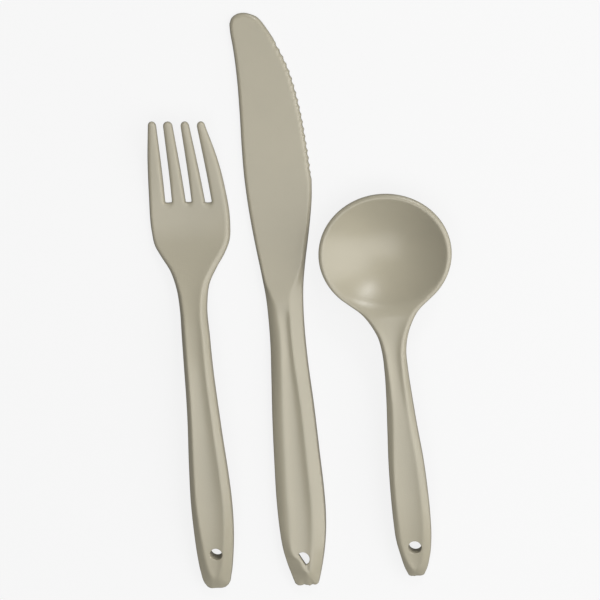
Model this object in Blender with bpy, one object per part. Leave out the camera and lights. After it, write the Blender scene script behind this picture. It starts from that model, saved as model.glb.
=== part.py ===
"""A set of reusable plastic cutlery: a fork, a table knife and a round-bowl spoon.

Each piece is one moulding, drawn flat in its own frame in millimetres: x across, y from the end of
the handle (y = 0) towards the tip. An outline of a few curves gives its plan, and two height
functions give its top and its underside. The pieces then lie side by side on the plane z = 0.
"""
import math

import bpy
import numpy as np
from mathutils.geometry import delaunay_2d_cdt

MM = 0.001

# Mesh spacing, in millimetres
EDGE_STEP = 1.7
GRID_STEP = 3.0
ARC_STEP = 0.8
TOOTH_STEP = 0.42
RIDGE_GAP = 0.85
GRID_GAP = 1.5
HOLE_GAP = 0.85
HOLE_SIDES = 20
SHARP_ANGLE = math.radians(35)

# Where the set's own frame begins, and where each handle's end lies in it, in metres
SET_AT = (-0.00026, -0.1019, 0.0)
FORK_AT = (-0.0277, 0.0, 0.0)
KNIFE_AT = (0.0030, 0.0022, 0.0)
SPOON_AT = (0.0418, 0.0072, 0.0)

# How far each tip leans to the left, in degrees
FORK_LEAN = 4.6
KNIFE_LEAN = 4.6
SPOON_LEAN = 5.4

BEIGE = (0.479, 0.434, 0.328, 1.0)
ROUGHNESS = 0.42

# The blunt ends of the knife's and the spoon's handles, in millimetres
KNIFE_END = [(4.47, 1.9), (3.6, 0.6), (0, 0.4), (-3.2, 0.5), (-4.17, 1.13)]
SPOON_END = [(2.87, 0.7), (1.76, 0.3), (-1.56, 0.3), (-2.57, 0.7)]

# Heights along each piece, as (y, value) stations in millimetres.
# thickness: underside to ridge. channel: depth of the hollow face between the two ridges.
# left, right, end, tip and edge: width of the sloping flank from the ridge out to that side.
# side: height of the upright wall under each flank.
# ridge: how far the crease at the top of a flank is rounded off, where it isn't RIDGE.
# swell: how much a flank is rounded outwards, where it isn't flat.
FORK = {
    "underside": [(0, 0), (20, 4.2), (40, 7.0), (60, 8.4), (78, 8.2), (95, 5.9), (110, 2.8), (122, 0.7),
                  (132, 0), (145, 1.2), (169, 7.0)],
    "thickness": [(0, 4.2), (30, 4.8), (70, 4.8), (100, 4.6), (115, 3.6), (128, 2.7), (150, 2.4), (169, 2.0)],
    "channel": [(0, 0.2), (14, 0.5), (40, 0.8), (85, 0.7), (104, 0.4), (116, 0.3), (132, 0.5), (150, 0.0)],
    "left": [(0, 5.0), (5, 4.0), (9, 3.4), (17, 3.0), (30, 2.4), (53, 2.0), (100, 1.6), (118, 1.2),
             (132, 0.8), (169, 0.8)],
    "right": [(0, 4.6), (5, 3.9), (11, 3.0), (17, 2.8), (30, 2.4), (53, 2.1), (100, 1.8), (118, 1.6),
              (132, 0.9), (169, 0.8)],
    "side": [(0, 2.2), (17, 2.6), (60, 2.9), (95, 2.7), (115, 2.2), (128, 1.9), (169, 1.7)],
    "end": [(0, 5.2), (10, 5.2)],
    "tip": [(0, 0.8), (169, 0.8)],
    "ridge": {},
    "swell": {},
}
KNIFE = {
    "underside": [(0, 0), (203, 0)],
    "thickness": [(0, 5.4), (30, 6.0), (80, 6.0), (100, 5.2), (112, 4.0), (125, 3.0), (140, 2.5), (203, 2.2)],
    "channel": [(0, 0.3), (14, 0.6), (40, 1.0), (85, 0.9), (97, 0.7), (101, 0.2), (104, 0.0), (203, 0.0)],
    "left": [(0, 9.2), (4.5, 7.4), (7.2, 5.8), (10.7, 4.9), (12, 3.6), (14.5, 3.1), (22, 3.9), (30, 4.3),
             (90, 4.2), (99, 3.7), (106, 2.0), (112, 0.9), (122, 0.8), (203, 0.8)],
    "right": [(0, 2.0), (2, 2.8), (5, 3.8), (17, 3.9), (30, 4.0), (65, 3.7), (95, 4.1), (104, 4.1),
              (111, 2.0), (118, 0.8), (140, 0.8), (203, 0.8)],
    "side": [(0, 2.4), (4.5, 2.6), (7, 3.1), (11, 3.7), (15, 4.1), (30, 3.9), (65, 3.6), (95, 2.9),
             (112, 2.2), (125, 1.9), (140, 1.5), (203, 1.4)],
    "end": [(0, 5.0), (10, 5.0)],
    "tip": [(0, 0.8), (203, 0.8)],
    "edge": [(0, 0.8), (203, 0.8)],
    "ridge": {"left": [(0, 0.5), (12, 0.5), (25, 0.8), (95, 0.8), (105, 0.5), (203, 0.5)],
              "right": [(0, 0.5), (14, 0.7), (25, 0.9), (90, 0.9), (100, 0.4), (203, 0.4)]},
    "swell": {"left": [(0, 0.0), (12, 0.0), (22, 0.6), (97, 0.6), (108, 0.0), (203, 0.0)]},
}
SPOON = {
    "underside": [(0, 0), (20, 4.3), (40, 7.0), (60, 8.3), (80, 8.7), (100, 9.2), (137.2, 9.2)],
    "thickness": [(0, 4.0), (30, 4.6), (70, 4.4), (88, 3.4), (100, 2.4), (137.2, 2.0)],
    "channel": [(0, 0.2), (12, 0.5), (28, 0.6), (60, 0.35), (70, 0.6), (80, 0.8), (92, 0.8), (102, 0.3),
                (112, 0.0), (137.2, 0.0)],
    "left": [(0, 4.4), (3, 2.9), (6, 2.0), (9, 1.6), (20, 1.8), (35, 1.8), (60, 2.2), (80, 1.4), (95, 1.1),
             (137.2, 1.1)],
    "right": [(0, 4.4), (3, 2.9), (5.5, 2.2), (12, 2.3), (20, 2.2), (50, 1.9), (80, 1.4), (95, 1.1),
              (137.2, 1.1)],
    "side": [(0, 2.2), (5, 2.8), (13, 3.2), (26, 3.1), (61, 2.8), (80, 2.5), (92, 2.0), (100, 1.6),
             (137.2, 1.2)],
    "end": [(0, 3.2), (10, 3.2)],
    "tip": [(0, 1.1), (138, 1.1)],
    "ridge": {},
    "swell": {},
}
RIDGE = [(0, 0.5), (203, 0.5)]
NO_SWELL = [(0, 0.0), (203, 0.0)]

# Hanging holes: centre and radius, how far the hole has moved by the time it reaches the underside,
# and how far its flat side is from the centre, if it has one
FORK_HOLE = ((-0.1, 14.2), 2.2, (-0.1, 1.0), None)
KNIFE_HOLE = ((-0.3, 10.9), 2.4, (-0.4, -1.1), 0.5)
SPOON_HOLE = ((0.8, 12.0), 2.3, (0.0, 0.6), None)
FLAT_SIDE = (-0.87, -0.49)

# Fork tines: the centre line and width of each slot from root to top, and where the tines end
SLOT_ROOT_X = (-6.79, 0.25, 7.16)
SLOT_ROOT_Y = (139.6, 139.3, 138.7)
SLOT_ROOT_WIDTH = (2.5, 2.2, 2.45)
SLOT_ROOT_DEPTH = 0.7
SLOT_TOP_X = (-6.37, -0.50, 5.18)
SLOT_TOP_WIDTH = (2.5, 2.9, 2.75)
TINE_TIPS_Y = (168.4, 168.0, 167.6, 167.2)
TINE_TIP_LENGTH = 1.7

# Knife edge: small scallops cut into the blade
SERRATION_PITCH = 2.5
SERRATION_DEPTH = 0.4
SERRATION_FROM = 144.5
SERRATION_TO = 193.5

# Spoon bowl: the inner face is a shallow dish inside the rim, which runs out into the handle's neck
BOWL_CENTRE = (-0.45, 116.3)
BOWL_HALF_WIDTH = 22.68
BOWL_HALF_LENGTH = 20.65
BOWL_SWEEP = (-50, 230)
RIM_WIDTH = 1.7
RIM_SIDE = 1.6
BOWL_DEPTH = 9.0
BOWL_WALL = 2.0
DISH_BLEND = [(0, 3.2), (92, 3.2), (112, 0.35), (137.2, 0.35)]
BULGE_BLEND = 1.2


# ---------------------------------------------------------------- curves

def slopes(t, v, steady):
    """Slope at each point of a smooth curve through (t, v), which never overshoots if it is steady."""
    gap = np.diff(t)
    rise = np.diff(v) / gap
    inner = (rise[:-1] * gap[1:] + rise[1:] * gap[:-1]) / (gap[1:] + gap[:-1])
    if steady:
        limit = 2 * np.minimum(np.abs(rise[:-1]), np.abs(rise[1:])) * (rise[:-1] * rise[1:] > 0)
        inner = np.clip(inner, -limit, limit)
    return np.concatenate([rise[:1], inner, rise[-1:]])


def along(stations, y, steady=True):
    """Value at y of the smooth curve through (y, value) stations."""
    t, v = np.array(stations, float).T
    m = slopes(t, v, steady)
    y = np.clip(y, t[0], t[-1])
    i = np.clip(np.searchsorted(t, y) - 1, 0, len(t) - 2)
    gap = t[i + 1] - t[i]
    u = (y - t[i]) / gap
    start = v[i] * (2 * u**3 - 3 * u**2 + 1) + m[i] * gap * (u**3 - 2 * u**2 + u)
    return start + v[i + 1] * (3 * u**2 - 2 * u**3) + m[i + 1] * gap * (u**3 - u**2)


def curve(points, step):
    """Points about step apart on a smooth curve through the given points."""
    points = np.array(points, float)
    run = np.concatenate([[0], np.cumsum(np.hypot(*np.diff(points, axis=0).T))])
    t = np.linspace(0, run[-1], max(2, math.ceil(run[-1] / step) + 1))
    return np.stack([along(list(zip(run, points[:, k])), t, steady=False) for k in (0, 1)], -1)


def half_ellipse(start, end, height, step, squareness=1.0):
    """A half ellipse from start to end that bulges by height along y, with squarer corners on request."""
    start, end = np.array(start, float), np.array(end, float)
    count = max(6, math.ceil((np.hypot(*(end - start)) + abs(height)) / step))
    a = np.linspace(0, math.pi, count + 1)[:, None]
    middle, reach = (start + end) / 2, (end - start) / 2
    power = 1 / squareness
    across = np.sign(np.cos(a)) * np.abs(np.cos(a))**power
    return middle - reach * across + np.array([[0.0, height]]) * np.abs(np.sin(a))**power


def smooth_min(a, b, blend):
    """The lower of two heights, with the crease between them rounded."""
    h = np.clip(0.5 + 0.5 * (b - a) / blend, 0, 1)
    return b + (a - b) * h - blend * h * (1 - h)


def distance(points, chain):
    """Shortest distance from each point to an open chain of segments."""
    nearest = np.full(len(points), np.inf)
    for a, b in zip(chain[:-1], chain[1:]):
        side = b - a
        t = np.clip((points - a) @ side / max(side @ side, 1e-12), 0, 1)
        gap = points - a - t[:, None] * side
        nearest = np.minimum(nearest, np.einsum("ij,ij->i", gap, gap))
    return np.sqrt(nearest)


def inside(points, loop):
    """Which points lie inside a closed loop."""
    x, y = points.T
    odd = np.zeros(len(points), bool)
    for (x0, y0), (x1, y1) in zip(loop, np.roll(loop, -1, axis=0)):
        if y0 != y1:
            odd ^= ((y0 > y) != (y1 > y)) & (x < (x1 - x0) * (y - y0) / (y1 - y0) + x0)
    return odd


# ---------------------------------------------------------------- outlines
# Each outline is a dictionary of chains that run clockwise from the left end corner.

def fork_outline():
    left = curve([(-5.07, 0.76), (-6.07, 2.5), (-6.87, 7), (-7.22, 13), (-7.32, 22), (-7.12, 34),
                  (-6.27, 48), (-5.32, 62), (-4.87, 78), (-5.02, 93), (-5.27, 103), (-6.07, 109.5),
                  (-8.07, 116), (-10.97, 121), (-12.97, 125), (-13.72, 130), (-13.37, 143), (-12.37, 154),
                  (-10.42, 166.7)], EDGE_STEP)
    right = curve([(9.32, 165.5), (11.97, 154), (13.37, 144), (14.02, 131), (13.37, 125.2), (11.27, 120.6),
                   (8.37, 116.2), (5.37, 110.5), (4.27, 104), (4.62, 92), (5.27, 77), (6.27, 59), (7.07, 44),
                   (7.27, 34), (6.67, 22), (5.37, 12.5), (3.77, 5), (2.57, 1.6), (1.37, 0.58)], EDGE_STEP)
    tips = []
    for tine in range(4):
        tip_y = TINE_TIPS_Y[tine] - TINE_TIP_LENGTH
        start = left[-1] if tine == 0 else slot_corner(tine - 1, 1, tip_y)
        end = right[0] if tine == 3 else slot_corner(tine, -1, tip_y)
        tips.append(half_ellipse(start, end, TINE_TIP_LENGTH, ARC_STEP))
        if tine < 3:
            left_root, right_root = root_corner(tine, -1), root_corner(tine, 1)
            up = slot_corner(tine, 1, TINE_TIPS_Y[tine + 1] - TINE_TIP_LENGTH)
            tips.append(curve([end, left_root], EDGE_STEP)[1:-1])
            tips.append(half_ellipse(left_root, right_root, -SLOT_ROOT_DEPTH, ARC_STEP / 2, squareness=1.7))
            tips.append(curve([right_root, up], EDGE_STEP)[1:-1])
    end = curve([(1.37, 0.58), (0.35, 0.3), (-2.07, 0.3), (-4.11, 0.3), (-5.07, 0.76)], EDGE_STEP)
    return {"left": left, "tip": np.vstack(tips), "right": right, "end": end}


def slot_corner(slot, side, y):
    """Where a slot's side meets the rounded tip of a tine."""
    return SLOT_TOP_X[slot] + side * SLOT_TOP_WIDTH[slot] / 2, y


def root_corner(slot, side):
    """Where a slot's side meets its root."""
    return SLOT_ROOT_X[slot] + side * SLOT_ROOT_WIDTH[slot] / 2, SLOT_ROOT_Y[slot] + SLOT_ROOT_DEPTH


def knife_outline():
    left = curve([(-4.17, 1.13), (-4.77, 3.1), (-6.07, 8.2), (-7.27, 14.5), (-7.92, 22), (-8.17, 31),
                  (-7.87, 46), (-7.27, 62), (-6.37, 78), (-5.87, 88), (-5.82, 96), (-6.12, 104.5),
                  (-6.97, 112), (-8.52, 124), (-9.77, 136), (-10.37, 147), (-10.37, 157), (-10.07, 169),
                  (-10.02, 181), (-10.47, 191), (-11.02, 197), (-11.02, 199.5)], EDGE_STEP)
    tip = curve([(-11.02, 199.5), (-10.1, 201.4), (-8.15, 202.6), (-5.83, 202.8), (-3.7, 202.2), (-1.47, 201),
                 (0, 199.3), (1.53, 196.9), (3.5, SERRATION_TO)], ARC_STEP)
    edge = curve([(3.5, SERRATION_TO), (5.97, 188.2), (7.87, 183.2), (9.87, 175), (11.17, 167), (12.07, 158),
                  (12.67, 150), (12.85, SERRATION_FROM)], TOOTH_STEP)
    edge[:, 0] -= scallops(edge[:, 1])
    right = curve([(12.85, SERRATION_FROM), (12.42, 138.5), (11.47, 132), (9.97, 124), (8.37, 116),
                   (7.07, 108), (6.47, 100), (6.32, 93), (6.52, 82), (7.47, 65), (8.12, 48), (8.62, 35),
                   (8.62, 27), (8.07, 19), (6.87, 11.5), (5.47, 5.5), (4.47, 1.9)], EDGE_STEP)
    end = curve(KNIFE_END, ARC_STEP)
    return {"left": left, "tip": tip, "edge": edge, "right": right, "end": end}


def scallops(y):
    """How far the serration cuts into the edge at y."""
    phase = (y - SERRATION_FROM) / SERRATION_PITCH
    fade = np.clip(np.minimum(y - SERRATION_FROM, SERRATION_TO - y) / SERRATION_PITCH, 0, 1)
    return SERRATION_DEPTH * fade * np.abs(np.sin(math.pi * phase))


def spoon_outline():
    cx, cy = BOWL_CENTRE
    sweep = math.radians(BOWL_SWEEP[1] - BOWL_SWEEP[0])
    count = math.ceil(sweep * BOWL_HALF_WIDTH / EDGE_STEP)
    a = np.radians(np.linspace(BOWL_SWEEP[1], BOWL_SWEEP[0], count))
    bowl = np.stack([cx + BOWL_HALF_WIDTH * np.cos(a), cy + BOWL_HALF_LENGTH * np.sin(a)], -1)
    left = curve([(-2.57, 0.7), (-3.47, 3.3), (-4.67, 9.2), (-5.57, 15), (-5.82, 22), (-5.82, 31),
                  (-5.47, 44), (-4.77, 56), (-4.17, 67), (-3.97, 76), (-4.27, 83), (-5.17, 87.8),
                  (-6.87, 91.6), (-9.57, 95.7), tuple(bowl[0])], EDGE_STEP)
    right = curve([tuple(bowl[-1]), (9.1, 96), (6.47, 91.6), (4.87, 87.4), (3.97, 82.5), (4.02, 76.5),
                   (4.62, 67), (5.47, 56), (6.57, 44), (7.02, 33), (7.07, 23), (6.62, 14.5), (5.47, 7.5),
                   (4.07, 3.1), (2.87, 0.7)], EDGE_STEP)
    end = curve(SPOON_END, ARC_STEP)
    return {"left": left, "tip": bowl, "right": right, "end": end}


def ring_around(hole, margin):
    """The rim of a hole, moved outwards by a margin."""
    centre, radius, _, flat = hole
    a = np.arange(HOLE_SIDES) * 2 * math.pi / HOLE_SIDES
    spokes = np.stack([np.cos(a), np.sin(a)], -1) * (radius + margin)
    if flat is not None:
        beyond = np.clip(spokes @ FLAT_SIDE - flat - margin, 0, None)
        spokes = spokes - beyond[:, None] * np.array([FLAT_SIDE])
    return spokes + centre


# ---------------------------------------------------------------- heights

def handle_heights(form, outline, points):
    """Top and underside of a hipped, channelled form at each point."""
    x, y = points.T
    left_edge = outline["left"]
    right_edge = outline["right"][::-1]
    low = np.interp(y, left_edge[:, 1], left_edge[:, 0]) + along(form["left"], y)
    high = np.interp(y, right_edge[:, 1], right_edge[:, 0]) - along(form["right"], y)
    across = np.clip((2 * x - low - high) / np.maximum(high - low, 1.0), -1, 1)
    thickness, side = along(form["thickness"], y), along(form["side"], y)
    top = thickness - along(form["channel"], y) * (1 - across**2)
    for name, chain in outline.items():
        share = distance(points, chain) / along(form[name], y)
        swell = along(form["swell"].get(name, NO_SWELL), y)
        flank = share + swell * np.where(share < 1, share * (1 - share), 1 - share)
        blend = along(form["ridge"].get(name, RIDGE), y)
        top = smooth_min(top, side + (thickness - side) * flank, blend)
    underside = along(form["underside"], y)
    return underside + top, underside


def spoon_heights(form, outline, points):
    """The handle's heights, with the dish sunk into them at the bowl."""
    top, underside = handle_heights(form, outline, points)
    x, y = points.T
    across, lengthways = x - BOWL_CENTRE[0], y - BOWL_CENTRE[1]
    rim = BOWL_DEPTH + BOWL_WALL
    inner = np.hypot(across / (BOWL_HALF_WIDTH - RIM_WIDTH), lengthways / (BOWL_HALF_LENGTH - RIM_WIDTH))
    outer = np.hypot(across / BOWL_HALF_WIDTH, lengthways / BOWL_HALF_LENGTH)
    dish = rim - BOWL_DEPTH * (1 - inner**2)
    bulge = (rim - RIM_SIDE) * outer**2
    top = smooth_min(top, dish, along(DISH_BLEND, y))
    return top, np.maximum(smooth_min(underside, bulge, BULGE_BLEND), 0)


# ---------------------------------------------------------------- solids

def ridge_rows(outline, form, closed):
    """Points along the top of each flank."""
    rows = []
    for name, chain in outline.items():
        run = np.gradient(chain, axis=0)
        inward = np.stack([run[:, 1], -run[:, 0]], -1) / np.hypot(*run.T)[:, None]
        width = along(form[name], chain[:, 1])
        row = chain + inward * width[:, None]
        clear = (distance(row, closed) > width * 0.9) & inside(row, closed[:-1])
        rows.append(row[clear])
    return spread(np.vstack(rows), RIDGE_GAP)


def spread(points, gap):
    """The points that are left when each keeps its distance from the ones before it."""
    kept = points[:1]
    for point in points[1:]:
        if np.hypot(*(kept - point).T).min() > gap:
            kept = np.vstack([kept, point])
    return kept


def cloud(outline, hole, form):
    """Points for the mesh: the outline, the hole, the ridges, and an even grid between."""
    loop = np.vstack([chain[:-1] for chain in outline.values()])
    closed = np.vstack([loop, loop[:1]])
    lo, hi = loop.min(axis=0), loop.max(axis=0)
    levels = np.arange(lo[1], hi[1], GRID_STEP * math.sqrt(0.75))
    grid = np.array([(x + GRID_STEP / 2 * (i % 2), y) for i, y in enumerate(levels)
                     for x in np.arange(lo[0], hi[0], GRID_STEP)])
    grid = grid[inside(grid, loop)]
    grid = grid[distance(grid, closed) > GRID_GAP]
    ridges = ridge_rows(outline, form, closed)
    clear = [np.hypot(*(ridges - point).T).min() > GRID_GAP for point in grid]
    inner = np.vstack([ridges, grid[clear]])
    inner = inner[~inside(inner, ring_around(hole, HOLE_GAP))]
    return loop, ring_around(hole, 0.0), inner


def moulding(name, outline, hole, form, heights):
    """One closed solid between a piece's underside and its top."""
    loop, ring, inner = cloud(outline, hole, form)
    points = np.vstack([loop, ring, inner])
    edges = [(i, (i + 1) % len(loop)) for i in range(len(loop))]
    edges += [(len(loop) + i, len(loop) + (i + 1) % len(ring)) for i in range(len(ring))]
    flat, _, faces, *_ = delaunay_2d_cdt([tuple(p) for p in points], edges, [], 0, 1e-4)
    flat = np.array(flat)
    faces = np.array(faces)
    middle = flat[faces].mean(axis=1)
    faces = faces[inside(middle, loop) & ~inside(middle, ring)]
    top, underside = heights(form, outline, flat)

    centre, radius, drift, _ = hole
    pull = np.clip(2 - np.hypot(*(flat - centre).T) / radius, 0, 1)[:, None]
    bottom = flat + pull * np.array([drift])
    count = len(flat)
    verts = np.vstack([np.column_stack([flat, top]), np.column_stack([bottom, underside])]) * MM
    sides = {edge for a, b, c in faces.tolist() for edge in ((a, b), (b, c), (c, a))}
    rim = sorted((a, b) for a, b in sides if (b, a) not in sides)
    polygons = faces.tolist() + (faces[:, ::-1] + count).tolist()
    polygons += [(a + count, b + count, b, a) for a, b in rim]

    mesh = bpy.data.meshes.new(name)
    mesh.from_pydata(verts.tolist(), [], polygons)
    mesh.validate()
    mesh.shade_smooth()
    mesh.set_sharp_from_angle(angle=SHARP_ANGLE)
    piece = bpy.data.objects.new(name, mesh)
    bpy.context.scene.collection.objects.link(piece)
    return piece


def satin_plastic(name):
    material = bpy.data.materials.new(name)
    material.use_nodes = True
    shader = material.node_tree.nodes["Principled BSDF"]
    shader.inputs["Base Color"].default_value = BEIGE
    shader.inputs["Roughness"].default_value = ROUGHNESS
    shader.inputs["Metallic"].default_value = 0.0
    return material


def lay(piece, at, lean, parent):
    """Lays a piece in its place in the set, with its tip leaning to the left."""
    piece.parent = parent
    piece.location = at
    piece.rotation_euler = (0.0, 0.0, math.radians(lean))
    piece.data.materials.append(satin_plastic(piece.name + "_plastic"))


def build():
    for old in list(bpy.data.objects):
        bpy.data.objects.remove(old)
    cutlery = bpy.data.objects.new("cutlery_set", None)
    cutlery.location = SET_AT
    bpy.context.scene.collection.objects.link(cutlery)
    lay(moulding("fork", fork_outline(), FORK_HOLE, FORK, handle_heights), FORK_AT, FORK_LEAN, cutlery)
    lay(moulding("knife", knife_outline(), KNIFE_HOLE, KNIFE, handle_heights), KNIFE_AT, KNIFE_LEAN, cutlery)
    lay(moulding("spoon", spoon_outline(), SPOON_HOLE, SPOON, spoon_heights), SPOON_AT, SPOON_LEAN, cutlery)


build()
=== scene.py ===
"""Looks of the plastic cutlery set: a fork, a table knife and a round-bowl spoon in beige plastic.

Each piece is drawn in its own frame in millimetres, x across and y from the end of the handle
towards the tip, from the same curves as its CAD solid but with a fine mesh, rounded edges and the
small marks of moulding. It is then laid on its CAD solid, which it replaces.
"""
import math
import bpy
import numpy as np
from mathutils import Matrix, Vector
from mathutils.geometry import delaunay_2d_cdt


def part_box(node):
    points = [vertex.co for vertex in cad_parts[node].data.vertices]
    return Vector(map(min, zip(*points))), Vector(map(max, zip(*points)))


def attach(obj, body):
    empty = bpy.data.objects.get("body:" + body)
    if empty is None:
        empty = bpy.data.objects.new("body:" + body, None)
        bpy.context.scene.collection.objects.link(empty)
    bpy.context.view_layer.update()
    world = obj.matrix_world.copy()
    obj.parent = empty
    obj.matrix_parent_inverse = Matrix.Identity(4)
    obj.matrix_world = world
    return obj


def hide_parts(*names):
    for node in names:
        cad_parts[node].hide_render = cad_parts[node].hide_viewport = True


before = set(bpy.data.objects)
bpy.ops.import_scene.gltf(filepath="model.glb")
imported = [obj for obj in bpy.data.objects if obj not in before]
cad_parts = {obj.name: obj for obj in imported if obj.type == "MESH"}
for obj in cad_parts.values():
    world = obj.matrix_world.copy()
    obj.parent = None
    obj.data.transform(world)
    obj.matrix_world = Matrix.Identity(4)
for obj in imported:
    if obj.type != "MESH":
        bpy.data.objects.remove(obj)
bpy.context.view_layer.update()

MM = 0.001

# Mesh spacing, in millimetres
EDGE_STEP = 0.45
GRID_STEP = 0.55
ARC_STEP = 0.2
TOOTH_STEP = 0.25
HOLE_SIDES = 64

# How far each tip leans to the left, in degrees
FORK_LEAN = 4.6
KNIFE_LEAN = 4.6
SPOON_LEAN = 5.4

# Radii of the rounded edges: upper edge as (y, radius) stations, underside, and the rims of the holes
UPPER_ROUND = {
    "fork": [(0, 0.4), (110, 0.5), (135, 0.7), (169, 0.7)],
    "knife": [(0, 0.4), (110, 0.4), (203, 0.35)],
    "spoon": [(0, 0.4), (137.2, 0.45)],
}
UNDER_ROUND = 0.3
HOLE_ROUND = 0.25

# Where the mesh has rows of points across a rounded edge, as shares of its radius. A row keeps only
# the points that no other part of the outline is much nearer to.
EDGE_ROWS = (0.06, 0.2, 0.42, 0.7, 1.0)
HOLE_ROWS = (0.1, 0.35, 0.7, 1.1, 2.0)
ROW_CLEARANCE = 0.93
ROW_GAP = 0.02
GRID_CLEARANCE = 0.4 * GRID_STEP

# The blunt ends of two handles, where the mould was cut off: three ragged lobes and a nib, and a nib
KNIFE_END = [(4.47, 1.9), (4.0, 0.85), (2.95, 0.39), (1.9, 0.58), (1.35, 0.25), (0.95, 0.05), (0.6, 0.3),
             (-0.2, 0.39), (-0.95, 0.67), (-1.7, 0.39), (-3.1, 0.39), (-4.17, 1.13)]
SPOON_END = [(2.87, 0.7), (1.76, 0.3), (0.5, 0.33), (-0.3, 0.3), (-0.62, 0.12), (-0.95, 0.3), (-1.7, 0.3),
             (-2.57, 0.7)]

# Shallow sink marks under the roots of the fork's slots
SINK_DEPTH = 0.22
SINK_RADIUS = 0.75
SINK_BELOW = 0.9
SINK_STRETCH = 1.5

FLOOR_SIZE = 3.0
FLOOR_DEPTH = 0.0001

# Heights along each piece, as (y, value) stations in millimetres.
# thickness: underside to ridge. channel: depth of the hollow face between the two ridges.
# left, right, end, tip and edge: width of the sloping flank from the ridge out to that side.
# side: height of the upright wall under each flank.
# ridge: how far the crease at the top of a flank is rounded off, where it isn't RIDGE.
# swell: how much a flank is rounded outwards, where it isn't flat.
FORK = {
    "underside": [(0, 0), (20, 4.2), (40, 7.0), (60, 8.4), (78, 8.2), (95, 5.9), (110, 2.8), (122, 0.7),
                  (132, 0), (145, 1.2), (169, 7.0)],
    "thickness": [(0, 4.2), (30, 4.8), (70, 4.8), (100, 4.6), (115, 3.6), (128, 2.7), (150, 2.4), (169, 2.0)],
    "channel": [(0, 0.2), (14, 0.5), (40, 0.8), (85, 0.7), (104, 0.4), (116, 0.3), (132, 0.5), (150, 0.0)],
    "left": [(0, 5.0), (5, 4.0), (9, 3.4), (17, 3.0), (30, 2.4), (53, 2.0), (100, 1.6), (118, 1.2),
             (132, 0.8), (169, 0.8)],
    "right": [(0, 4.6), (5, 3.9), (11, 3.0), (17, 2.8), (30, 2.4), (53, 2.1), (100, 1.8), (118, 1.6),
              (132, 0.9), (169, 0.8)],
    "side": [(0, 2.2), (17, 2.6), (60, 2.9), (95, 2.7), (115, 2.2), (128, 1.9), (169, 1.7)],
    "end": [(0, 5.2), (10, 5.2)],
    "tip": [(0, 0.8), (169, 0.8)],
    "ridge": {},
    "swell": {},
}
KNIFE = {
    "underside": [(0, 0), (203, 0)],
    "thickness": [(0, 5.4), (30, 6.0), (80, 6.0), (100, 5.2), (112, 4.0), (125, 3.0), (140, 2.5), (203, 2.2)],
    "channel": [(0, 0.3), (14, 0.6), (40, 1.0), (85, 0.9), (97, 0.7), (101, 0.2), (104, 0.0), (203, 0.0)],
    "left": [(0, 9.2), (4.5, 7.4), (7.2, 5.8), (10.7, 4.9), (12, 3.6), (14.5, 3.1), (22, 3.9), (30, 4.3),
             (90, 4.2), (99, 3.7), (106, 2.0), (112, 0.9), (122, 0.8), (203, 0.8)],
    "right": [(0, 2.0), (2, 2.8), (5, 3.8), (17, 3.9), (30, 4.0), (65, 3.7), (95, 4.1), (104, 4.1),
              (111, 2.0), (118, 0.8), (140, 0.8), (203, 0.8)],
    "side": [(0, 2.4), (4.5, 2.6), (7, 3.1), (11, 3.7), (15, 4.1), (30, 3.9), (65, 3.6), (95, 2.9),
             (112, 2.2), (125, 1.9), (140, 1.5), (203, 1.4)],
    "end": [(0, 5.0), (10, 5.0)],
    "tip": [(0, 0.8), (203, 0.8)],
    "edge": [(0, 0.8), (203, 0.8)],
    "ridge": {"left": [(0, 0.5), (12, 0.5), (25, 0.8), (95, 0.8), (105, 0.5), (203, 0.5)],
              "right": [(0, 0.5), (14, 0.7), (25, 0.9), (90, 0.9), (100, 0.4), (203, 0.4)]},
    "swell": {"left": [(0, 0.0), (12, 0.0), (22, 0.6), (97, 0.6), (108, 0.0), (203, 0.0)]},
}
SPOON = {
    "underside": [(0, 0), (20, 4.3), (40, 7.0), (60, 8.3), (80, 8.7), (100, 9.2), (137.2, 9.2)],
    "thickness": [(0, 4.0), (30, 4.6), (70, 4.4), (88, 3.4), (100, 2.4), (137.2, 2.0)],
    "channel": [(0, 0.2), (12, 0.5), (28, 0.6), (60, 0.35), (70, 0.6), (80, 0.8), (92, 0.8), (102, 0.3),
                (112, 0.0), (137.2, 0.0)],
    "left": [(0, 4.4), (3, 2.9), (6, 2.0), (9, 1.6), (20, 1.8), (35, 1.8), (60, 2.2), (80, 1.4), (95, 1.1),
             (137.2, 1.1)],
    "right": [(0, 4.4), (3, 2.9), (5.5, 2.2), (12, 2.3), (20, 2.2), (50, 1.9), (80, 1.4), (95, 1.1),
              (137.2, 1.1)],
    "side": [(0, 2.2), (5, 2.8), (13, 3.2), (26, 3.1), (61, 2.8), (80, 2.5), (92, 2.0), (100, 1.6),
             (137.2, 1.2)],
    "end": [(0, 3.2), (10, 3.2)],
    "tip": [(0, 1.1), (138, 1.1)],
    "ridge": {},
    "swell": {},
}
RIDGE = [(0, 0.5), (203, 0.5)]
NO_SWELL = [(0, 0.0), (203, 0.0)]

# Hanging holes: centre and radius, how far the hole has moved by the time it reaches the underside,
# and how far its flat side is from the centre, if it has one
FORK_HOLE = ((-0.1, 14.2), 2.2, (-0.1, 1.0), None)
KNIFE_HOLE = ((-0.3, 10.9), 2.4, (-0.4, -1.1), 0.5)
SPOON_HOLE = ((0.8, 12.0), 2.3, (0.0, 0.6), None)
FLAT_SIDE = (-0.87, -0.49)

# Fork tines: the centre line and width of each slot from root to top, and where the tines end
SLOT_ROOT_X = (-6.79, 0.25, 7.16)
SLOT_ROOT_Y = (139.6, 139.3, 138.7)
SLOT_ROOT_WIDTH = (2.5, 2.2, 2.45)
SLOT_ROOT_DEPTH = 0.7
SLOT_TOP_X = (-6.37, -0.50, 5.18)
SLOT_TOP_WIDTH = (2.5, 2.9, 2.75)
TINE_TIPS_Y = (168.4, 168.0, 167.6, 167.2)
TINE_TIP_LENGTH = 1.7

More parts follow.
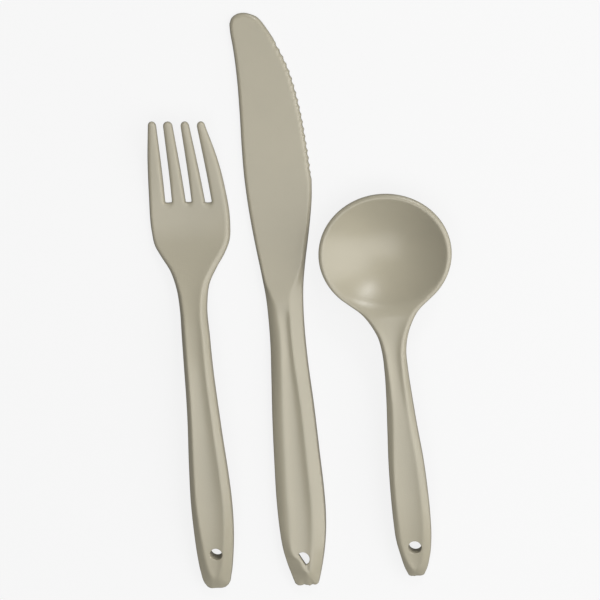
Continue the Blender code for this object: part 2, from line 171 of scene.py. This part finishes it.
# Knife edge: small scallops cut into the blade
SERRATION_PITCH = 2.5
SERRATION_DEPTH = 0.4
SERRATION_FROM = 144.5
SERRATION_TO = 193.5

# Spoon bowl: the inner face is a shallow dish inside the rim, which runs out into the handle's neck
BOWL_CENTRE = (-0.45, 116.3)
BOWL_HALF_WIDTH = 22.68
BOWL_HALF_LENGTH = 20.65
BOWL_SWEEP = (-50, 230)
RIM_WIDTH = 1.7
RIM_SIDE = 1.6
BOWL_DEPTH = 9.0
BOWL_WALL = 2.0
DISH_BLEND = [(0, 3.2), (92, 3.2), (112, 0.35), (137.2, 0.35)]
BULGE_BLEND = 1.2


# ---------------------------------------------------------------- curves

def slopes(t, v, steady):
    """Slope at each point of a smooth curve through (t, v), which never overshoots if it is steady."""
    gap = np.diff(t)
    rise = np.diff(v) / gap
    inner = (rise[:-1] * gap[1:] + rise[1:] * gap[:-1]) / (gap[1:] + gap[:-1])
    if steady:
        limit = 2 * np.minimum(np.abs(rise[:-1]), np.abs(rise[1:])) * (rise[:-1] * rise[1:] > 0)
        inner = np.clip(inner, -limit, limit)
    return np.concatenate([rise[:1], inner, rise[-1:]])


def along(stations, y, steady=True):
    """Value at y of the smooth curve through (y, value) stations."""
    t, v = np.array(stations, float).T
    m = slopes(t, v, steady)
    y = np.clip(y, t[0], t[-1])
    i = np.clip(np.searchsorted(t, y) - 1, 0, len(t) - 2)
    gap = t[i + 1] - t[i]
    u = (y - t[i]) / gap
    start = v[i] * (2 * u**3 - 3 * u**2 + 1) + m[i] * gap * (u**3 - 2 * u**2 + u)
    return start + v[i + 1] * (3 * u**2 - 2 * u**3) + m[i + 1] * gap * (u**3 - u**2)


def curve(points, step):
    """Points about step apart on a smooth curve through the given points."""
    points = np.array(points, float)
    run = np.concatenate([[0], np.cumsum(np.hypot(*np.diff(points, axis=0).T))])
    t = np.linspace(0, run[-1], max(2, math.ceil(run[-1] / step) + 1))
    return np.stack([along(list(zip(run, points[:, k])), t, steady=False) for k in (0, 1)], -1)


def half_ellipse(start, end, height, step, squareness=1.0):
    """A half ellipse from start to end that bulges by height along y, with squarer corners on request."""
    start, end = np.array(start, float), np.array(end, float)
    count = max(6, math.ceil((np.hypot(*(end - start)) + abs(height)) / step))
    a = np.linspace(0, math.pi, count + 1)[:, None]
    middle, reach = (start + end) / 2, (end - start) / 2
    power = 1 / squareness
    across = np.sign(np.cos(a)) * np.abs(np.cos(a))**power
    return middle - reach * across + np.array([[0.0, height]]) * np.abs(np.sin(a))**power


def smooth_min(a, b, blend):
    """The lower of two heights, with the crease between them rounded."""
    h = np.clip(0.5 + 0.5 * (b - a) / blend, 0, 1)
    return b + (a - b) * h - blend * h * (1 - h)


def distance(points, chain):
    """Shortest distance from each point to an open chain of segments."""
    nearest = np.full(len(points), np.inf)
    for a, b in zip(chain[:-1], chain[1:]):
        side = b - a
        t = np.clip((points - a) @ side / max(side @ side, 1e-12), 0, 1)
        gap = points - a - t[:, None] * side
        nearest = np.minimum(nearest, np.einsum("ij,ij->i", gap, gap))
    return np.sqrt(nearest)


def inside(points, loop):
    """Which points lie inside a closed loop."""
    x, y = points.T
    odd = np.zeros(len(points), bool)
    for (x0, y0), (x1, y1) in zip(loop, np.roll(loop, -1, axis=0)):
        if y0 != y1:
            odd ^= ((y0 > y) != (y1 > y)) & (x < (x1 - x0) * (y - y0) / (y1 - y0) + x0)
    return odd


# ---------------------------------------------------------------- outlines
# Each outline is a dictionary of chains that run clockwise from the left end corner.

def fork_outline():
    left = curve([(-5.07, 0.76), (-6.07, 2.5), (-6.87, 7), (-7.22, 13), (-7.32, 22), (-7.12, 34),
                  (-6.27, 48), (-5.32, 62), (-4.87, 78), (-5.02, 93), (-5.27, 103), (-6.07, 109.5),
                  (-8.07, 116), (-10.97, 121), (-12.97, 125), (-13.72, 130), (-13.37, 143), (-12.37, 154),
                  (-10.42, 166.7)], EDGE_STEP)
    right = curve([(9.32, 165.5), (11.97, 154), (13.37, 144), (14.02, 131), (13.37, 125.2), (11.27, 120.6),
                   (8.37, 116.2), (5.37, 110.5), (4.27, 104), (4.62, 92), (5.27, 77), (6.27, 59), (7.07, 44),
                   (7.27, 34), (6.67, 22), (5.37, 12.5), (3.77, 5), (2.57, 1.6), (1.37, 0.58)], EDGE_STEP)
    tips = []
    for tine in range(4):
        tip_y = TINE_TIPS_Y[tine] - TINE_TIP_LENGTH
        start = left[-1] if tine == 0 else slot_corner(tine - 1, 1, tip_y)
        end = right[0] if tine == 3 else slot_corner(tine, -1, tip_y)
        tips.append(half_ellipse(start, end, TINE_TIP_LENGTH, ARC_STEP))
        if tine < 3:
            left_root, right_root = root_corner(tine, -1), root_corner(tine, 1)
            up = slot_corner(tine, 1, TINE_TIPS_Y[tine + 1] - TINE_TIP_LENGTH)
            tips.append(curve([end, left_root], EDGE_STEP)[1:-1])
            tips.append(half_ellipse(left_root, right_root, -SLOT_ROOT_DEPTH, ARC_STEP / 2, squareness=1.7))
            tips.append(curve([right_root, up], EDGE_STEP)[1:-1])
    end = curve([(1.37, 0.58), (0.35, 0.3), (-2.07, 0.3), (-4.11, 0.3), (-5.07, 0.76)], EDGE_STEP)
    return {"left": left, "tip": np.vstack(tips), "right": right, "end": end}


def slot_corner(slot, side, y):
    """Where a slot's side meets the rounded tip of a tine."""
    return SLOT_TOP_X[slot] + side * SLOT_TOP_WIDTH[slot] / 2, y


def root_corner(slot, side):
    """Where a slot's side meets its root."""
    return SLOT_ROOT_X[slot] + side * SLOT_ROOT_WIDTH[slot] / 2, SLOT_ROOT_Y[slot] + SLOT_ROOT_DEPTH


def knife_outline():
    left = curve([(-4.17, 1.13), (-4.77, 3.1), (-6.07, 8.2), (-7.27, 14.5), (-7.92, 22), (-8.17, 31),
                  (-7.87, 46), (-7.27, 62), (-6.37, 78), (-5.87, 88), (-5.82, 96), (-6.12, 104.5),
                  (-6.97, 112), (-8.52, 124), (-9.77, 136), (-10.37, 147), (-10.37, 157), (-10.07, 169),
                  (-10.02, 181), (-10.47, 191), (-11.02, 197), (-11.02, 199.5)], EDGE_STEP)
    tip = curve([(-11.02, 199.5), (-10.1, 201.4), (-8.15, 202.6), (-5.83, 202.8), (-3.7, 202.2), (-1.47, 201),
                 (0, 199.3), (1.53, 196.9), (3.5, SERRATION_TO)], ARC_STEP)
    edge = curve([(3.5, SERRATION_TO), (5.97, 188.2), (7.87, 183.2), (9.87, 175), (11.17, 167), (12.07, 158),
                  (12.67, 150), (12.85, SERRATION_FROM)], TOOTH_STEP)
    edge[:, 0] -= scallops(edge[:, 1])
    right = curve([(12.85, SERRATION_FROM), (12.42, 138.5), (11.47, 132), (9.97, 124), (8.37, 116),
                   (7.07, 108), (6.47, 100), (6.32, 93), (6.52, 82), (7.47, 65), (8.12, 48), (8.62, 35),
                   (8.62, 27), (8.07, 19), (6.87, 11.5), (5.47, 5.5), (4.47, 1.9)], EDGE_STEP)
    end = curve(KNIFE_END, ARC_STEP)
    return {"left": left, "tip": tip, "edge": edge, "right": right, "end": end}


def scallops(y):
    """How far the serration cuts into the edge at y."""
    phase = (y - SERRATION_FROM) / SERRATION_PITCH
    fade = np.clip(np.minimum(y - SERRATION_FROM, SERRATION_TO - y) / SERRATION_PITCH, 0, 1)
    return SERRATION_DEPTH * fade * np.abs(np.sin(math.pi * phase))


def spoon_outline():
    cx, cy = BOWL_CENTRE
    sweep = math.radians(BOWL_SWEEP[1] - BOWL_SWEEP[0])
    count = math.ceil(sweep * BOWL_HALF_WIDTH / EDGE_STEP)
    a = np.radians(np.linspace(BOWL_SWEEP[1], BOWL_SWEEP[0], count))
    bowl = np.stack([cx + BOWL_HALF_WIDTH * np.cos(a), cy + BOWL_HALF_LENGTH * np.sin(a)], -1)
    left = curve([(-2.57, 0.7), (-3.47, 3.3), (-4.67, 9.2), (-5.57, 15), (-5.82, 22), (-5.82, 31),
                  (-5.47, 44), (-4.77, 56), (-4.17, 67), (-3.97, 76), (-4.27, 83), (-5.17, 87.8),
                  (-6.87, 91.6), (-9.57, 95.7), tuple(bowl[0])], EDGE_STEP)
    right = curve([tuple(bowl[-1]), (9.1, 96), (6.47, 91.6), (4.87, 87.4), (3.97, 82.5), (4.02, 76.5),
                   (4.62, 67), (5.47, 56), (6.57, 44), (7.02, 33), (7.07, 23), (6.62, 14.5), (5.47, 7.5),
                   (4.07, 3.1), (2.87, 0.7)], EDGE_STEP)
    end = curve(SPOON_END, ARC_STEP)
    return {"left": left, "tip": bowl, "right": right, "end": end}


def ring_around(hole, margin):
    """The rim of a hole, moved outwards by a margin."""
    centre, radius, _, flat = hole
    a = np.arange(HOLE_SIDES) * 2 * math.pi / HOLE_SIDES
    spokes = np.stack([np.cos(a), np.sin(a)], -1) * (radius + margin)
    if flat is not None:
        beyond = np.clip(spokes @ FLAT_SIDE - flat - margin, 0, None)
        spokes = spokes - beyond[:, None] * np.array([FLAT_SIDE])
    return spokes + centre


# ---------------------------------------------------------------- heights

def handle_heights(form, outline, points):
    """Top and underside of a hipped, channelled form at each point."""
    x, y = points.T
    left_edge = outline["left"]
    right_edge = outline["right"][::-1]
    low = np.interp(y, left_edge[:, 1], left_edge[:, 0]) + along(form["left"], y)
    high = np.interp(y, right_edge[:, 1], right_edge[:, 0]) - along(form["right"], y)
    across = np.clip((2 * x - low - high) / np.maximum(high - low, 1.0), -1, 1)
    thickness, side = along(form["thickness"], y), along(form["side"], y)
    top = thickness - along(form["channel"], y) * (1 - across**2)
    for name, chain in outline.items():
        share = distance(points, chain) / along(form[name], y)
        swell = along(form["swell"].get(name, NO_SWELL), y)
        flank = share + swell * np.where(share < 1, share * (1 - share), 1 - share)
        blend = along(form["ridge"].get(name, RIDGE), y)
        top = smooth_min(top, side + (thickness - side) * flank, blend)
    underside = along(form["underside"], y)
    return underside + top, underside


def spoon_heights(form, outline, points):
    """The handle's heights, with the dish sunk into them at the bowl."""
    top, underside = handle_heights(form, outline, points)
    x, y = points.T
    across, lengthways = x - BOWL_CENTRE[0], y - BOWL_CENTRE[1]
    rim = BOWL_DEPTH + BOWL_WALL
    inner = np.hypot(across / (BOWL_HALF_WIDTH - RIM_WIDTH), lengthways / (BOWL_HALF_LENGTH - RIM_WIDTH))
    outer = np.hypot(across / BOWL_HALF_WIDTH, lengthways / BOWL_HALF_LENGTH)
    dish = rim - BOWL_DEPTH * (1 - inner**2)
    bulge = (rim - RIM_SIDE) * outer**2
    top = smooth_min(top, dish, along(DISH_BLEND, y))
    return top, np.maximum(smooth_min(underside, bulge, BULGE_BLEND), 0)


def fork_heights(form, outline, points):
    """The handle's heights, with a shallow sink mark under each slot."""
    top, underside = handle_heights(form, outline, points)
    for x, y in zip(SLOT_ROOT_X, SLOT_ROOT_Y):
        away = np.hypot((points[:, 0] - x) / SINK_STRETCH, points[:, 1] - y + SINK_BELOW)
        top = top - SINK_DEPTH * np.exp(-(away / SINK_RADIUS)**2)
    return top, underside


def rounding(away, radius):
    """How far a rounded edge of this radius has dropped at a distance from the edge."""
    inset = np.clip(radius - away, 0, radius)
    return radius - np.sqrt(radius**2 - inset**2)


# ---------------------------------------------------------------- meshes

def spread(points, gap):
    """The points that are left when each keeps its distance from the ones before it."""
    cells, kept = {}, []
    for point in points:
        i, j = int(point[0] // gap), int(point[1] // gap)
        near = [q for a in (-1, 0, 1) for b in (-1, 0, 1) for q in cells.get((i + a, j + b), ())]
        if all((q[0] - point[0])**2 + (q[1] - point[1])**2 > gap * gap for q in near):
            cells.setdefault((i, j), []).append(point)
            kept.append(point)
    return np.array(kept)


def edge_rows(outline, rounds, closed):
    """Rows of points down the rounded edge, close together where it is steepest."""
    rows = []
    for share in EDGE_ROWS:
        for chain in outline.values():
            run = np.gradient(chain, axis=0)
            inward = np.stack([run[:, 1], -run[:, 0]], -1) / np.hypot(*run.T)[:, None]
            width = share * along(rounds, chain[:, 1])
            row = chain + inward * width[:, None]
            rows.append(row[(distance(row, closed) > width * ROW_CLEARANCE) & inside(row, closed[:-1])])
    return np.vstack(rows)


def cloud(outline, hole, rounds):
    """Points for the mesh: the outline, the hole, the rows of their rounded edges, and an even grid."""
    loop = np.vstack([chain[:-1] for chain in outline.values()])
    closed = np.vstack([loop, loop[:1]])
    ring = ring_around(hole, 0.0)
    ring_rows = np.vstack([ring_around(hole, HOLE_ROUND * share) for share in HOLE_ROWS])
    near_hole = ring_around(hole, HOLE_ROUND * HOLE_ROWS[-1] + GRID_CLEARANCE)
    rows = edge_rows(outline, rounds, closed)
    lo, hi = loop.min(axis=0), loop.max(axis=0)
    levels = np.arange(lo[1], hi[1], GRID_STEP * math.sqrt(0.75))
    grid = np.array([(x + GRID_STEP / 2 * (i % 2), y) for i, y in enumerate(levels)
                     for x in np.arange(lo[0], hi[0], GRID_STEP)])
    grid = grid[inside(grid, loop)]
    grid = grid[distance(grid, closed) > along(rounds, grid[:, 1]) + GRID_CLEARANCE]
    grid = grid[~inside(grid, near_hole)]
    rows = rows[~inside(rows, near_hole)]
    inner = spread(np.vstack([ring_rows, rows]), ROW_GAP)
    return loop, ring, np.vstack([inner, grid])


def moulding(node, outline, hole, form, heights):
    """One closed mesh between a piece's underside and its top, with rounded edges."""
    rounds = UPPER_ROUND[node]
    loop, ring, inner = cloud(outline, hole, rounds)
    points = np.vstack([loop, ring, inner])
    edges = [(i, (i + 1) % len(loop)) for i in range(len(loop))]
    edges += [(len(loop) + i, len(loop) + (i + 1) % len(ring)) for i in range(len(ring))]
    flat, _, faces, *_ = delaunay_2d_cdt([tuple(p) for p in points], edges, [], 0, 1e-4)
    flat = np.array(flat)
    faces = np.array(faces)
    middle = flat[faces].mean(axis=1)
    faces = faces[inside(middle, loop) & ~inside(middle, ring)]
    top, underside = heights(form, outline, flat)
    from_edge = distance(flat, np.vstack([loop, loop[:1]]))
    from_hole = distance(flat, np.vstack([ring, ring[:1]]))
    top = top - rounding(from_edge, along(rounds, flat[:, 1])) - rounding(from_hole, HOLE_ROUND)
    underside = underside + rounding(from_edge, UNDER_ROUND) + rounding(from_hole, HOLE_ROUND)

    centre, radius, drift, _ = hole
    pull = np.clip(2 - np.hypot(*(flat - centre).T) / radius, 0, 1)[:, None]
    bottom = flat + pull * np.array([drift])
    count = len(flat)
    verts = np.vstack([np.column_stack([flat, top]), np.column_stack([bottom, underside])]) * MM
    sides = {edge for a, b, c in faces.tolist() for edge in ((a, b), (b, c), (c, a))}
    rim = sorted((a, b) for a, b in sides if (b, a) not in sides)
    polygons = faces.tolist() + (faces[:, ::-1] + count).tolist()
    polygons += [(a + count, b + count, b, a) for a, b in rim]
    mesh = bpy.data.meshes.new(node + "_moulding")
    mesh.from_pydata(verts.tolist(), [], polygons)
    mesh.validate()
    mesh.shade_smooth()
    piece = bpy.data.objects.new(node + "_moulding", mesh)
    bpy.context.scene.collection.objects.link(piece)
    return piece


def lay(piece, node, lean, material):
    """Turns a piece and centres it on its CAD solid."""
    piece.data.transform(Matrix.Rotation(math.radians(lean), 4, "Z"))
    corners = np.array([v.co for v in piece.data.vertices])
    lo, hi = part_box(node)
    middle = (Vector(lo) + Vector(hi)) / 2
    own = Vector((corners.min(axis=0) + corners.max(axis=0)) / 2)
    piece.location = (middle.x - own.x, middle.y - own.y, 0)
    piece.data.materials.append(material)
    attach(piece, "root")
    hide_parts(node)


# ---------------------------------------------------------------- materials

def satin_plastic():
    """Beige plastic with a fine spark-eroded grain."""
    material = bpy.data.materials.new("beige_plastic")
    material.use_nodes = True
    nodes, links = material.node_tree.nodes, material.node_tree.links
    shader = nodes["Principled BSDF"]
    place = nodes.new("ShaderNodeTexCoord")
    shader.inputs["IOR"].default_value = 1.59

    mottle = nodes.new("ShaderNodeTexNoise")
    mottle.inputs["Scale"].default_value = 60.0
    mottle.inputs["Detail"].default_value = 3.0
    links.new(place.outputs["Object"], mottle.inputs["Vector"])
    tint = nodes.new("ShaderNodeValToRGB")
    tint.color_ramp.elements[0].position = 0.3
    tint.color_ramp.elements[0].color = (0.459, 0.424, 0.322, 1)
    tint.color_ramp.elements[1].position = 0.7
    tint.color_ramp.elements[1].color = (0.477, 0.439, 0.332, 1)
    links.new(mottle.outputs["Fac"], tint.inputs["Fac"])
    links.new(tint.outputs["Color"], shader.inputs["Base Color"])

    grain = nodes.new("ShaderNodeTexNoise")
    grain.inputs["Scale"].default_value = 2200.0
    grain.inputs["Detail"].default_value = 2.0
    links.new(place.outputs["Object"], grain.inputs["Vector"])
    gloss = nodes.new("ShaderNodeMapRange")
    gloss.inputs["To Min"].default_value = 0.26
    gloss.inputs["To Max"].default_value = 0.38
    links.new(grain.outputs["Fac"], gloss.inputs["Value"])
    links.new(gloss.outputs["Result"], shader.inputs["Roughness"])
    bump = nodes.new("ShaderNodeBump")
    bump.inputs["Strength"].default_value = 0.5
    bump.inputs["Distance"].default_value = 0.00005
    links.new(grain.outputs["Fac"], bump.inputs["Height"])
    links.new(bump.outputs["Normal"], shader.inputs["Normal"])
    return material


# ---------------------------------------------------------------- stage, lights and camera

def floor():
    mesh = bpy.data.meshes.new("floor")
    corners = [(x * FLOOR_SIZE, y * FLOOR_SIZE, 0) for x, y in ((-1, -1), (1, -1), (1, 1), (-1, 1))]
    mesh.from_pydata(corners, [], [(0, 1, 2, 3)])
    ground = bpy.data.objects.new("floor", mesh)
    bpy.context.scene.collection.objects.link(ground)
    ground.location.z = -FLOOR_DEPTH
    material = bpy.data.materials.new("pale_floor")
    material.use_nodes = True
    shader = material.node_tree.nodes["Principled BSDF"]
    shader.inputs["Base Color"].default_value = (0.12, 0.12, 0.12, 1)
    shader.inputs["Roughness"].default_value = 1.0
    shader.inputs["Specular IOR Level"].default_value = 0.0
    shader.inputs["Emission Color"].default_value = (1, 1, 1, 1)
    shader.inputs["Emission Strength"].default_value = 0.83
    mesh.materials.append(material)
    ground.visible_diffuse = False
    ground.visible_glossy = False


def soft_light(name, direction, reach, size, power):
    """A square soft light that faces the middle of the set from a direction."""
    lamp = bpy.data.lights.new(name, "AREA")
    lamp.size = size
    lamp.energy = power
    light = bpy.data.objects.new(name, lamp)
    bpy.context.scene.collection.objects.link(light)
    away = Vector(direction).normalized()
    light.location = away * reach
    light.rotation_mode = "QUATERNION"
    light.rotation_quaternion = away.to_track_quat("Z", "Y")


def studio():
    world = bpy.data.worlds.new("studio")
    bpy.context.scene.world = world
    world.use_nodes = True
    world.node_tree.nodes["Background"].inputs["Color"].default_value = (1, 1, 1, 1)
    world.node_tree.nodes["Background"].inputs["Strength"].default_value = 0.15
    soft_light("key", (0.78, 0.0, 0.63), 0.8, 0.9, 5.0)
    soft_light("overhead", (0, -0.3, 1), 1.5, 1.2, 7.5)
    soft_light("back", (0.28, 0.80, 0.53), 1.5, 0.3, 5.0)
    bpy.context.scene.view_settings.view_transform = "Standard"


def camera():
    """Looks down on the set, a little from the right and from the tips' side."""
    right_tilt, tip_tilt, reach, view_angle = 7.0, 9.5, 0.660, 17.99
    back = Vector((math.sin(math.radians(right_tilt)), math.sin(math.radians(tip_tilt)), 0))
    back.z = math.sqrt(1 - back.x**2 - back.y**2)
    up = (Vector((0, 1, 0)) - back.y * back).normalized()
    right = up.cross(back)
    target = Vector((-0.0001, 0.0031, 0.0))
    lens = bpy.data.cameras.new("camera")
    lens.angle = math.radians(view_angle)
    eye = bpy.data.objects.new("camera", lens)
    bpy.context.scene.collection.objects.link(eye)
    turn = Matrix((right, up, back)).transposed().to_4x4()
    eye.matrix_world = Matrix.Translation(target + back * reach) @ turn
    bpy.context.scene.camera = eye


plastic = satin_plastic()
lay(moulding("fork", fork_outline(), FORK_HOLE, FORK, fork_heights), "fork", FORK_LEAN, plastic)
lay(moulding("knife", knife_outline(), KNIFE_HOLE, KNIFE, handle_heights), "knife", KNIFE_LEAN, plastic)
lay(moulding("spoon", spoon_outline(), SPOON_HOLE, SPOON, spoon_heights), "spoon", SPOON_LEAN, plastic)
floor()
studio()
camera()
